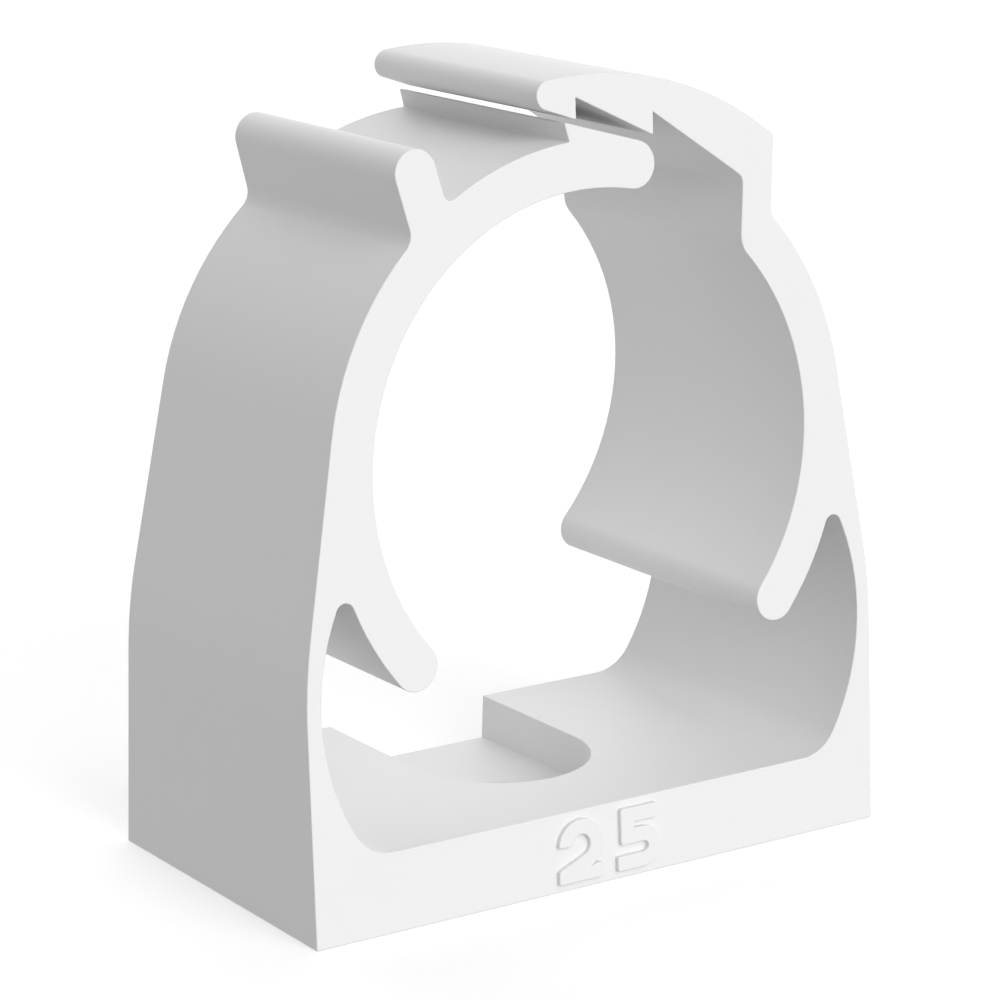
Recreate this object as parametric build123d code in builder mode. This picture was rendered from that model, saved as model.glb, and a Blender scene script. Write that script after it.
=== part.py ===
from build123d import *
from math import acos, cos, degrees, radians, sin, sqrt, tan
import os

# One-hole snap clamp for a 25 mm pipe, moulded in one piece from white plastic.
# The origin is the centre of the mounting face and +Z points away from the wall.
# The pipe lies along Y, the front face looks along -Y, and the screw recess opens at the back.
# The profile is drawn in X and Z as it is seen from the front. Sizes are in mm and degrees,
# and angles about the pipe are counted from +X towards +Z.

# Pipe seat
pipe_diameter = 25.0
pipe_height = 21.1
ring_wall = 2.3
tongue_drop = 39.5

# Base and screw
base_width = 33.0
base_depth = 18.2
face_draft = 3.15
floor_height = 3.9
seat_height = 1.55
recess_width = 9.44
recess_back = 0.53
screw_hole_diameter = 4.6

# Sprung side walls
spring_wall = 0.78
spring_height = 10.95
spring_radius = 11.65
floor_radius = 2.3
notch_radius = 0.48
bend_height = 12.5
bend_radius = 25.0

# Left arm, with the release lug and the catch
nose_angle = 79.0
lug_angle = 129.0
lug_lean = 16.1
lug_length = 3.61
lug_thickness = 2.22
lug_outer_radius = 0.9
lug_inner_radius = 0.38
catch_angle = 94.3
catch_height = 0.98
catch_lean = 16.5

# Right arm, with the toothed beam over the catch
riser_angle = 45.4
riser_lean = 3.6
riser_thickness = 1.77
riser_inner_radius = 1.4
riser_outer_radius = 0.9
throat_radius = 0.65
beam_rise = 3.03
beam_end_radius = 0.7
beam_corner_radius = 0.3
tooth_lead = 0.7
tooth_clearance = 0.25
tooth_pitch = 4.41
tooth_step = 1.07
first_tooth_height = 1.03
second_tooth_height = 1.09
lead_ramp = 18.5
throat_ramp = 33.9
tip_radius = 0.08

pipe_axis = Vector(0, pipe_height)
inner_radius = pipe_diameter / 2
middle_radius = inner_radius + ring_wall / 2
outer_radius = inner_radius + ring_wall
beam_radius = outer_radius + beam_rise


def polar(length, angle):
    """A vector of this length at this angle."""
    return Vector(length * cos(radians(angle)), length * sin(radians(angle)))


def touch(point, centre, radius, side):
    """Where a line from the point touches a circle, anticlockwise round it for side 1."""
    away = point - centre
    angle = degrees(acos(radius / away.length))
    return centre + away.normalized().rotate(Axis.Z, side * angle) * radius


def reach(point, angle, radius):
    """Where a line from a point inside a circle about the pipe's axis leaves that circle."""
    away = point - pipe_axis
    along = away.dot(polar(1, angle))
    return point + polar(sqrt(along**2 - away.dot(away) + radius**2) - along, angle)


def crossing(first, first_radius, second, second_radius):
    """Where two circles cross, on the left of the line from the first centre to the second."""
    line = second - first
    along = (line.length**2 + first_radius**2 - second_radius**2) / (2 * line.length)
    aside = sqrt(first_radius**2 - along**2)
    step = line.normalized()
    return first + step * along + Vector(-step.Y, step.X) * aside


def arc(centre, start, end):
    """Draw the arc about the centre from start to end, the short way round."""
    middle = ((start - centre) + (end - centre)).normalized() * (start - centre).length
    ThreePointArc(start, centre + middle, end)


# Foot and flanks: each side rises straight, bends in and runs tangent into the ring
bend = Vector(base_width / 2, bend_height)
flank_top = touch(bend, pipe_axis, outer_radius, 1)

# Hollow: the sprung wall's arc runs from the floor fillet to the notch behind the tongue
spring_centre = Vector(base_width / 2 - spring_wall - spring_radius, spring_height)
floor_rise = floor_height + floor_radius - spring_height
floor_run = sqrt((spring_radius - floor_radius) ** 2 - floor_rise**2)
floor_centre = spring_centre + Vector(floor_run, floor_rise)
notch_reach = spring_radius - notch_radius
notch_centre = crossing(pipe_axis, outer_radius + notch_radius, spring_centre, notch_reach)
floor_end = Vector(floor_centre.X, floor_height)
wall_start = spring_centre + (floor_centre - spring_centre).normalized() * spring_radius
wall_end = spring_centre + (notch_centre - spring_centre).normalized() * spring_radius
notch_end = pipe_axis + (notch_centre - pipe_axis).normalized() * outer_radius

# Lug: a straight tab whose root is in the middle of the ring's wall
lug_direction = 90 + lug_lean
lug_root = pipe_axis + polar(middle_radius, lug_angle)
lug_tip = lug_root + polar(lug_length, lug_direction)
lug_side = polar(lug_thickness / 2, lug_direction + 90)
lug_outer_foot = reach(lug_root + lug_side, lug_direction, outer_radius)
lug_inner_foot = reach(lug_root - lug_side, lug_direction, outer_radius)

# Catch: an undercut face, and a ramp that runs tangent onto the arm's rounded nose
catch_direction = 90 + catch_lean
catch_foot = pipe_axis + polar(outer_radius, catch_angle)
catch_tip = catch_foot + polar(catch_height, catch_direction)
catch_root = catch_foot - polar(ring_wall / 2, catch_direction)
nose_centre = pipe_axis + polar(middle_radius, nose_angle)
ramp_end = touch(catch_tip, nose_centre, ring_wall / 2, -1)
ramp_slope = (ramp_end.Y - catch_tip.Y) / (ramp_end.X - catch_tip.X)

# Right tongue: the end of the ring's wall, rounded over its whole thickness
tongue_centre = pipe_axis + polar(middle_radius, -tongue_drop)
tongue_inner = pipe_axis + polar(inner_radius, -tongue_drop)
tongue_outer = pipe_axis + polar(outer_radius, -tongue_drop)
tongue_end = tongue_centre - polar(ring_wall / 2, 90 - tongue_drop)

# Beam: two ratchet teeth hang over the catch's ramp, clear of it
riser_direction = 90 - riser_lean
riser_inner = pipe_axis + polar(inner_radius, riser_angle)
riser_side = riser_inner + polar(riser_thickness, riser_direction - 90)
riser_outer = reach(riser_side, riser_direction, outer_radius)
beam_shoulder = reach(riser_side, riser_direction, beam_radius)
first_tip = catch_tip + Vector(tooth_lead, ramp_slope * tooth_lead + tooth_clearance)
first_root = first_tip + Vector(0, first_tooth_height)
second_tip = first_tip + Vector(tooth_pitch, -tooth_step)
second_root = second_tip + Vector(0, second_tooth_height)
throat_fall = tan(radians(throat_ramp))
riser_shift = tan(radians(riser_lean))
ramp_run = riser_inner - second_root
throat_rise = -(ramp_run.Y + throat_fall * ramp_run.X) / (1 + throat_fall * riser_shift)
throat = riser_inner + Vector(riser_shift * throat_rise, throat_rise)

# Beam end: a round that touches both the underside and the beam's outer arc
lead_normal = polar(beam_end_radius, 90 - lead_ramp)
beam_end_centre = reach(first_tip + lead_normal, 180 - lead_ramp, beam_radius - beam_end_radius)
lead_end = beam_end_centre - lead_normal
beam_end_over = pipe_axis + (beam_end_centre - pipe_axis).normalized() * beam_radius

with BuildPart() as clamp_body:
    with BuildSketch(Plane.XZ) as profile:
        # Foot and flanks, with room for the ring
        with BuildLine():
            right_side = [(0, 0), (base_width / 2, 0), bend, flank_top, (0, flank_top.Y)]
            FilletPolyline(right_side, radius=[0, bend_radius, 0])
            mirror(about=Plane.YZ)
        make_face()
        with Locations(pipe_axis):
            Circle(outer_radius, mode=Mode.SUBTRACT)
        # Hollow over the base
        with BuildLine():
            Line((0, floor_height), floor_end)
            arc(floor_centre, floor_end, wall_start)
            arc(spring_centre, wall_start, wall_end)
            arc(notch_centre, wall_end, notch_end)
            Line(notch_end, pipe_axis)
            mirror(about=Plane.YZ)
        make_face(mode=Mode.SUBTRACT)
        # Left arm, a strip of the ring with both ends rounded
        with BuildLine(mode=Mode.PRIVATE) as left_arm:
            CenterArc(pipe_axis, middle_radius, nose_angle, 180 + tongue_drop - nose_angle)
        SlotArc(left_arm.wire(), ring_wall)
        # Release lug
        with Locations((lug_root + lug_tip) / 2):
            SlotCenterToCenter(lug_length, lug_thickness, rotation=lug_direction)
        # Catch
        with BuildLine():
            Polyline(catch_root, catch_tip, ramp_end, nose_centre, close=True)
        make_face()
        # Right arm, from its tongue up to the toothed beam and back
        with BuildLine():
            arc(tongue_centre, tongue_outer, tongue_end)
            arc(tongue_centre, tongue_end, tongue_inner)
            arc(pipe_axis, tongue_inner, riser_inner)
            Polyline(riser_inner, throat, second_root, second_tip, first_root, first_tip, lead_end)
            arc(beam_end_centre, lead_end, beam_end_over)
            arc(pipe_axis, beam_end_over, beam_shoulder)
            Line(beam_shoulder, riser_outer)
            arc(pipe_axis, riser_outer, tongue_outer)
        make_face()
        # Rounded corners
        for corner, radius in [
            (lug_outer_foot, lug_outer_radius),
            (lug_inner_foot, lug_inner_radius),
            (riser_inner, riser_inner_radius),
            (riser_outer, riser_outer_radius),
            (throat, throat_radius),
            (beam_shoulder, beam_corner_radius),
            (catch_tip, tip_radius),
            (first_tip, tip_radius),
            (second_tip, tip_radius),
        ]:
            fillet(profile.vertices().sort_by_distance(corner)[0], radius)
    extrude(amount=base_depth / 2, both=True)
    # Front and back faces lean in, so that the mould can open
    with BuildSketch(Plane.YZ):
        height = pipe_height + beam_radius
        Trapezoid(base_depth, height, 90 - face_draft, align=(Align.CENTER, Align.MIN))
    extrude(amount=base_width, both=True, mode=Mode.INTERSECT)
    # Recess for the screw's head, open at the back
    with BuildSketch(Plane.XY.offset(seat_height)):
        with Locations((0, recess_back)):
            Circle(recess_width / 2)
            Rectangle(recess_width, base_depth, align=(Align.CENTER, Align.MIN))
    extrude(amount=floor_height - seat_height, mode=Mode.SUBTRACT)
    # Screw hole
    with Locations((0, recess_back, seat_height)):
        Hole(screw_hole_diameter / 2, depth=seat_height)

clamp_body.part.label = "clamp_body"
os.makedirs("parts", exist_ok=True)
export_step(clamp_body.part, "parts/clamp_body.step")
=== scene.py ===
import math

import bmesh
import bpy
import numpy as np
from mathutils import Matrix, Vector


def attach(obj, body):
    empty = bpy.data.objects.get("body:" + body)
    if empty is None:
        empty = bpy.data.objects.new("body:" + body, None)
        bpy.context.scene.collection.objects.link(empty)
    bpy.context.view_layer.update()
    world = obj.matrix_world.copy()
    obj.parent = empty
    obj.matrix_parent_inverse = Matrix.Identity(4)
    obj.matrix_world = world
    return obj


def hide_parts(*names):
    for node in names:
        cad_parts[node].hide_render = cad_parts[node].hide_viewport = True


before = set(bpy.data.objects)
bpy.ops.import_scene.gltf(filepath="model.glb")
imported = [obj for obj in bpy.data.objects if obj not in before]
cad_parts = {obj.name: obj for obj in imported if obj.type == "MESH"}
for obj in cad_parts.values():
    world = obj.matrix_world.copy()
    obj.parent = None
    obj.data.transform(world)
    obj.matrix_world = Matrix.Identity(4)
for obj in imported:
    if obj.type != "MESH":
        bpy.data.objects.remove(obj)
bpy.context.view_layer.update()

# A one-piece white plastic pipe clamp on a pale floor. Sizes below are in millimetres and
# degrees, meshes are in metres, and every object stays at the origin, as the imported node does.

MM = 0.001

# Moulding: how far its edges are rounded, how sharp such an edge is, and what is merged as flat
EDGE_ROUND = 0.06
EDGE_ANGLE = 30
FLAT_ANGLE = 0.3
MERGE_DISTANCE = 0.001

# Raised size number: the size of a digit, its place on the base and the proportions of each shape
NUMBER_HEIGHT = 3.1
NUMBER_WIDTH = 2.6
NUMBER_STROKE = 0.75
NUMBER_GAP = 0.85
NUMBER_FOOT = 0.42
TWO_BOWL_START = 178
TWO_HEEL_HEIGHT = 0.675
FIVE_BOWL_RADIUS = 1.023
FIVE_BACK_INDENT = 0.208
ARC_STEP = 0.27

# The digits' section: rounded corners, relief, rounded upper edge, and the root inside the base
NUMBER_CORNER = 0.13
NUMBER_RELIEF = 0.27
NUMBER_ROUND = 0.05
NUMBER_RIM = 0.07
NUMBER_ROOT = 0.03
NUMBER_CREASE = 50

# Plastic: two tints of white that lie in clouds, and the grain left by the mould's steel
WHITE_TINTS = ((0.75, 0.75, 0.747, 1), (0.77, 0.77, 0.771, 1))
CLOUDS_PER_MM = 0.22
GRAIN_PER_MM = 7.0
GRAIN_DEPTH = 0.002

# Camera, at the photograph's place and angle
CAMERA_PLACE = (-95.896, -141.182, 60.866)
CAMERA_YAW = 34.136
CAMERA_PITCH = 14.375
CAMERA_ROLL = -0.034
CAMERA_LENS = 128.69
CAMERA_NEAR = 10

# Studio light: a fill from all round, and for each soft light where it stands as seen from the
# clamp, how narrow it is and how strong
FILL_LIGHT = 0.34
SOFT_LIGHTS = {
    "front": ((0, -1, 0.4), 12, 5.52),
    "back": ((0, 1, 0.4), 12, 2.17),
    "back_right": ((1, 1, 0), 6, 2.24),
    "low_left": ((-1, 1, -1), 6, 0.33),
}
BACKDROP = 1.0

# Floor: its reach, how far it lies below the clamp, so that their faces don't meet, its colour,
# and a glow that makes it as pale as the backdrop
FLOOR_REACH = 3000
FLOOR_DROP = 0.01
FLOOR_COLOUR = (0.85, 0.85, 0.85, 1)
FLOOR_GLOW = 0.31


class Field:
    """A value on its way through a node tree. Python's + - and * on it add Math nodes."""

    def __init__(self, tree, socket):
        self.tree = tree
        self.socket = socket

    def node(self, kind, settings=None, sockets=None, output=0):
        """One more node in the tree: its settings first, then a value or a field for each socket."""
        return add_node(self.tree, kind, settings, sockets, output)

    def math(self, operation, *values):
        sockets = {number: value for number, value in enumerate(values)}
        return self.node("ShaderNodeMath", {"operation": operation}, sockets)

    def exponential(self):
        return self.math("EXPONENT", self)

    def __add__(self, other):
        return self.math("ADD", self, other)

    def __radd__(self, other):
        return self.math("ADD", other, self)

    def __sub__(self, other):
        return self.math("SUBTRACT", self, other)

    def __rsub__(self, other):
        return self.math("SUBTRACT", other, self)

    def __mul__(self, other):
        return self.math("MULTIPLY", self, other)

    def __rmul__(self, other):
        return self.math("MULTIPLY", other, self)


def add_node(tree, kind, settings=None, sockets=None, output=0):
    """Add a node, set its settings, then link or set its sockets, and return one output as a field."""
    made = tree.nodes.new(kind)
    for name, value in (settings or {}).items():
        setattr(made, name, value)
    for name, value in (sockets or {}).items():
        if isinstance(value, Field):
            tree.links.new(value.socket, made.inputs[name])
        else:
            made.inputs[name].default_value = value
    return Field(tree, made.outputs[output])


def vector_math(operation, first, second, output=0):
    """A Vector Math node on a field and a second field or vector."""
    return first.node("ShaderNodeVectorMath", {"operation": operation}, {0: first, 1: second}, output)


def moulded_plastic():
    """Matt white moulded plastic: a cloudy tint, and the fine grain that the mould's steel leaves."""
    material = bpy.data.materials.new("moulded_plastic")
    material.use_nodes = True
    tree = material.node_tree
    shader = tree.nodes["Principled BSDF"]
    place = add_node(tree, "ShaderNodeTexCoord", output=3)
    in_mm = place.node("ShaderNodeMapping", sockets={"Vector": place, "Scale": (1 / MM, 1 / MM, 1 / MM)})

    def noise(scale, detail):
        sockets = {"Vector": in_mm, "Scale": scale, "Detail": detail, "Roughness": 0.5}
        return in_mm.node("ShaderNodeTexNoise", sockets=sockets)

    clouds = noise(CLOUDS_PER_MM, 3)
    grain = noise(GRAIN_PER_MM, 2)
    first_tint, second_tint = WHITE_TINTS
    tint = clouds.node("ShaderNodeMix", {"data_type": "RGBA"}, {
        "Factor": clouds,
        "A": first_tint,
        "B": second_tint,
    }, output=2)
    relief = grain.node("ShaderNodeBump", sockets={
        "Strength": 0.25,
        "Distance": GRAIN_DEPTH * MM,
        "Height": grain,
    })
    tree.links.new(tint.socket, shader.inputs["Base Color"])
    tree.links.new((0.5 + 0.08 * grain + 0.06 * clouds).socket, shader.inputs["Roughness"])
    tree.links.new(relief.socket, shader.inputs["Normal"])
    shader.inputs["Specular IOR Level"].default_value = 0.4
    return material


def finish_piece(mesh, name, material):
    """Make the object for a finished mesh, and let it ride with the clamp."""
    mesh.materials.clear()
    mesh.materials.append(material)
    piece = bpy.data.objects.new(name, mesh)
    bpy.context.scene.collection.objects.link(piece)
    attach(piece, "root")
    return piece


def eased_moulding(node, material):
    """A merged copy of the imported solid, whose sharp edges a Bevel modifier rounds a little."""
    mesh = node.data.copy()
    shell = bmesh.new()
    shell.from_mesh(mesh)
    bmesh.ops.remove_doubles(shell, verts=shell.verts, dist=MERGE_DISTANCE * MM)
    flat = math.radians(FLAT_ANGLE)
    bmesh.ops.dissolve_limit(shell, angle_limit=flat, verts=shell.verts, edges=shell.edges)
    shell.to_mesh(mesh)
    shell.free()
    mesh.attributes.remove(mesh.attributes["custom_normal"])
    mesh.shade_smooth()
    piece = finish_piece(mesh, "moulding", material)
    bevel = piece.modifiers.new("edge_round", "BEVEL")
    bevel.width = EDGE_ROUND * MM
    bevel.segments = 2
    bevel.limit_method = "ANGLE"
    bevel.angle_limit = math.radians(EDGE_ANGLE)
    bevel.harden_normals = True
    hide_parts(node.name)


def arc(centre, radius, start, end):
    """Points a step apart on a circle: the centre plus the radius at each angle from start to end."""
    count = 2 + int(radius * abs(math.radians(end - start)) / ARC_STEP)
    angle = np.radians(np.linspace(start, end, count))
    return np.stack([centre[0] + radius * np.cos(angle), centre[1] + radius * np.sin(angle)], axis=1)


def tangent_angle(point, centre, radius):
    """The angle round a circle at which a line from the point touches it.

    It is the point's own angle plus the angle whose cosine is the radius over the point's distance.
    """
    away = np.subtract(point, centre)
    return math.degrees(math.atan2(away[1], away[0]) + math.acos(radius / np.hypot(*away)))


def outline_of_two():
    """A bold 2, clockwise: a bowl, a straight diagonal as wide as the stroke, and a foot bar."""
    width, height, stroke = NUMBER_WIDTH, NUMBER_HEIGHT, NUMBER_STROKE
    outer = width / 2
    inner = outer - stroke
    centre = np.array([outer, height - outer])
    heel = np.array([0, TWO_HEEL_HEIGHT])
    lean = tangent_angle(heel, centre, inner)
    across = np.array([math.cos(math.radians(lean)), math.sin(math.radians(lean))])
    down = np.array([across[1], -across[0]])
    outer_touch = centre + outer * across
    bar_top = outer_touch + down * (outer_touch[1] - stroke) / -down[1]
    return np.concatenate([
        arc(centre, outer, TWO_BOWL_START, lean),
        [bar_top, (width, stroke), (width, 0), (0, 0), heel],
        arc(centre, inner, lean, TWO_BOWL_START),
    ])


def outline_of_five():
    """A bold 5, clockwise: a top bar, a straight back and a bowl that opens to the left."""
    width, height, stroke = NUMBER_WIDTH, NUMBER_HEIGHT, NUMBER_STROKE
    outer = FIVE_BOWL_RADIUS
    inner = outer - stroke
    centre = np.array([width - outer, outer])
    back = FIVE_BACK_INDENT
    return np.concatenate([
        [(back, height), (width - back, height), (width - back, height - stroke)],
        [(back + stroke, height - stroke), (back + stroke, 2 * outer)],
        arc(centre, outer, 90, -90),
        [(0, 0), (0, stroke)],
        arc(centre, inner, -90, 90),
        [(back, 2 * outer - stroke)],
    ])


def softened(outline, radius):
    """A closed outline with curves for corners.

    A curve starts and ends a radius from its corner, or 0.45 of a side where that is shorter. Its
    points are the start, corner and end, mixed by (1 - t)^2, 2t(1 - t) and t^2.
    """
    before = np.roll(outline, 1, axis=0) - outline
    after = np.roll(outline, -1, axis=0) - outline
    start = outline + before * np.minimum(radius / np.linalg.norm(before, axis=1, keepdims=True), 0.45)
    end = outline + after * np.minimum(radius / np.linalg.norm(after, axis=1, keepdims=True), 0.45)
    mix = np.linspace(0, 1, 5)[:, None]
    start, corner, end = start[:, None], outline[:, None], end[:, None]
    return ((1 - mix) ** 2 * start + 2 * mix * (1 - mix) * corner + mix**2 * end).reshape(-1, 2)


def inset(outline, distance):
    """A clockwise outline whose sides all move inwards by the distance.

    A corner moves by the distance times the sum of its two sides' inward normals, over 1 plus the
    cosine of the angle between the sides.
    """
    before = outline - np.roll(outline, 1, axis=0)
    after = np.roll(outline, -1, axis=0) - outline
    before /= np.linalg.norm(before, axis=1, keepdims=True)
    after /= np.linalg.norm(after, axis=1, keepdims=True)
    mitre = np.stack([before[:, 1] + after[:, 1], -before[:, 0] - after[:, 0]], axis=1)
    reach = 1 + np.sum(before * after, axis=1, keepdims=True)
    return outline + distance * mitre / reach


def raised_digit(outline, low, across, up, outward):
    """The rows of a raised digit: its outline, carried up a wall and over a quarter round of its edge.

    A row's inset is the radius times 1 - cos of the quarter's angle, and its height is the relief
    less the radius times 1 - sin. One flat face closes each end, the first row's and the last's.
    """
    quarter = np.radians([0, 22.5, 45, 67.5, 90])
    round_insets = NUMBER_ROUND * (1 - np.cos(quarter))
    round_heights = NUMBER_RELIEF - NUMBER_ROUND * (1 - np.sin(quarter))
    insets = np.concatenate([[0], round_insets, [NUMBER_RIM]])
    heights = np.concatenate([[-NUMBER_ROOT], round_heights, [NUMBER_RELIEF]])
    rows = [
        low + row[:, :1] * across + row[:, 1:] * up + height * outward
        for row, height in zip((inset(outline, step) for step in insets), heights)
    ]
    count = len(outline)
    here = np.arange(count)
    there = np.roll(here, -1)
    steps = np.arange(len(rows) - 1)[:, None] * count
    walls = np.stack([steps + here, steps + count + here, steps + count + there, steps + there], axis=2)
    ends = [here, (len(rows) - 1) * count + here[::-1]]
    return np.concatenate(rows), walls.reshape(-1, 4), ends


def raised_number(node, material):
    """The pipe's size as two raised digits on the base, standing on the front face's slope."""
    corners = np.array([vertex.co for vertex in node.data.vertices]) / MM
    close = 0.01
    bottom = corners[corners[:, 2] < close]
    top = corners[corners[:, 2] > corners[:, 2].max() - close]
    foot = np.array([0, bottom[:, 1].min(), 0])
    up = np.array([0, top[:, 1].min(), top[:, 2].max()]) - foot
    up /= np.linalg.norm(up)
    across = np.array([1.0, 0, 0])
    outward = np.cross(across, up)
    start = -NUMBER_WIDTH - NUMBER_GAP / 2
    vertices, faces, total = [], [], 0
    for number, outline in enumerate([outline_of_two(), outline_of_five()]):
        low = foot + up * NUMBER_FOOT + across * (start + number * (NUMBER_WIDTH + NUMBER_GAP))
        points, walls, ends = raised_digit(softened(outline, NUMBER_CORNER), low, across, up, outward)
        vertices.append(points)
        faces += (walls + total).tolist() + [(end + total).tolist() for end in ends]
        total += len(points)
    mesh = bpy.data.meshes.new("size_number")
    mesh.from_pydata(np.concatenate(vertices) * MM, [], faces)
    mesh.shade_smooth()
    mesh.set_sharp_from_angle(angle=math.radians(NUMBER_CREASE))
    finish_piece(mesh, "size_number", material)


def pale_floor():
    """A wide plain floor under the clamp, clear from below so that the mounting face can be seen."""
    reach, height = FLOOR_REACH * MM, -FLOOR_DROP * MM
    corners = [(-reach, -reach), (reach, -reach), (reach, reach), (-reach, reach)]
    mesh = bpy.data.meshes.new("floor")
    mesh.from_pydata([(x, y, height) for x, y in corners], [], [(0, 1, 2, 3)])
    material = bpy.data.materials.new("pale_floor")
    material.use_nodes = True
    tree = material.node_tree
    shader = tree.nodes["Principled BSDF"]
    shader.inputs["Base Color"].default_value = FLOOR_COLOUR
    shader.inputs["Roughness"].default_value = 0.9
    shader.inputs["Specular IOR Level"].default_value = 0.0
    shader.inputs["Emission Color"].default_value = (1, 1, 1, 1)
    shader.inputs["Emission Strength"].default_value = FLOOR_GLOW
    below = add_node(tree, "ShaderNodeNewGeometry", output="Backfacing")
    clear = add_node(tree, "ShaderNodeBsdfTransparent")
    plain = Field(tree, shader.outputs["BSDF"])
    either = below.node("ShaderNodeMixShader", sockets={0: below, 1: plain, 2: clear})
    tree.links.new(either.socket, tree.nodes["Material Output"].inputs["Surface"])
    mesh.materials.append(material)
    floor = bpy.data.objects.new("floor", mesh)
    bpy.context.scene.collection.objects.link(floor)
    floor.visible_diffuse = False
    floor.visible_shadow = False


def studio_light():
    """A fill light and a few soft lights far away, with a plain backdrop behind the floor.

    A soft light adds its strength times exp(focus * (cosine - 1)), where the cosine is of the angle
    between the direction looked in and the light's own.
    """
    world = bpy.data.worlds.new("studio")
    world.use_nodes = True
    tree = world.node_tree
    direction = add_node(tree, "ShaderNodeTexCoord", output=0)
    light = FILL_LIGHT
    for place, focus, strength in SOFT_LIGHTS.values():
        cosine = vector_math("DOT_PRODUCT", direction, Vector(place).normalized(), output=1)
        light = strength * (focus * cosine - focus).exponential() + light
    seen = add_node(tree, "ShaderNodeLightPath", output=0)
    background = tree.nodes["Background"]
    background.inputs["Color"].default_value = (1, 1, 1, 1)
    tree.links.new((light * (1 - seen) + BACKDROP * seen).socket, background.inputs["Strength"])
    bpy.context.scene.world = world
    bpy.context.scene.view_settings.view_transform = "Standard"


def photograph_camera():
    """A camera that looks along the yaw, counted from +Y towards +X, and down by the pitch."""
    yaw, pitch, roll = (math.radians(angle) for angle in (CAMERA_YAW, CAMERA_PITCH, CAMERA_ROLL))
    turn = Matrix.Rotation(-yaw, 4, "Z") @ Matrix.Rotation(math.pi / 2 - pitch, 4, "X")
    camera = bpy.data.objects.new("camera", bpy.data.cameras.new("camera"))
    camera.matrix_world = (
        Matrix.Translation(Vector(CAMERA_PLACE) * MM) @ turn @ Matrix.Rotation(roll, 4, "Z")
    )
    camera.data.lens = CAMERA_LENS
    camera.data.clip_start = CAMERA_NEAR * MM
    bpy.context.scene.collection.objects.link(camera)
    bpy.context.scene.camera = camera


plastic = moulded_plastic()
clamp_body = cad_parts["clamp_body"]
clamp_body.data.materials.clear()
clamp_body.data.materials.append(plastic)
eased_moulding(clamp_body, plastic)
raised_number(clamp_body, plastic)
pale_floor()
studio_light()
photograph_camera()
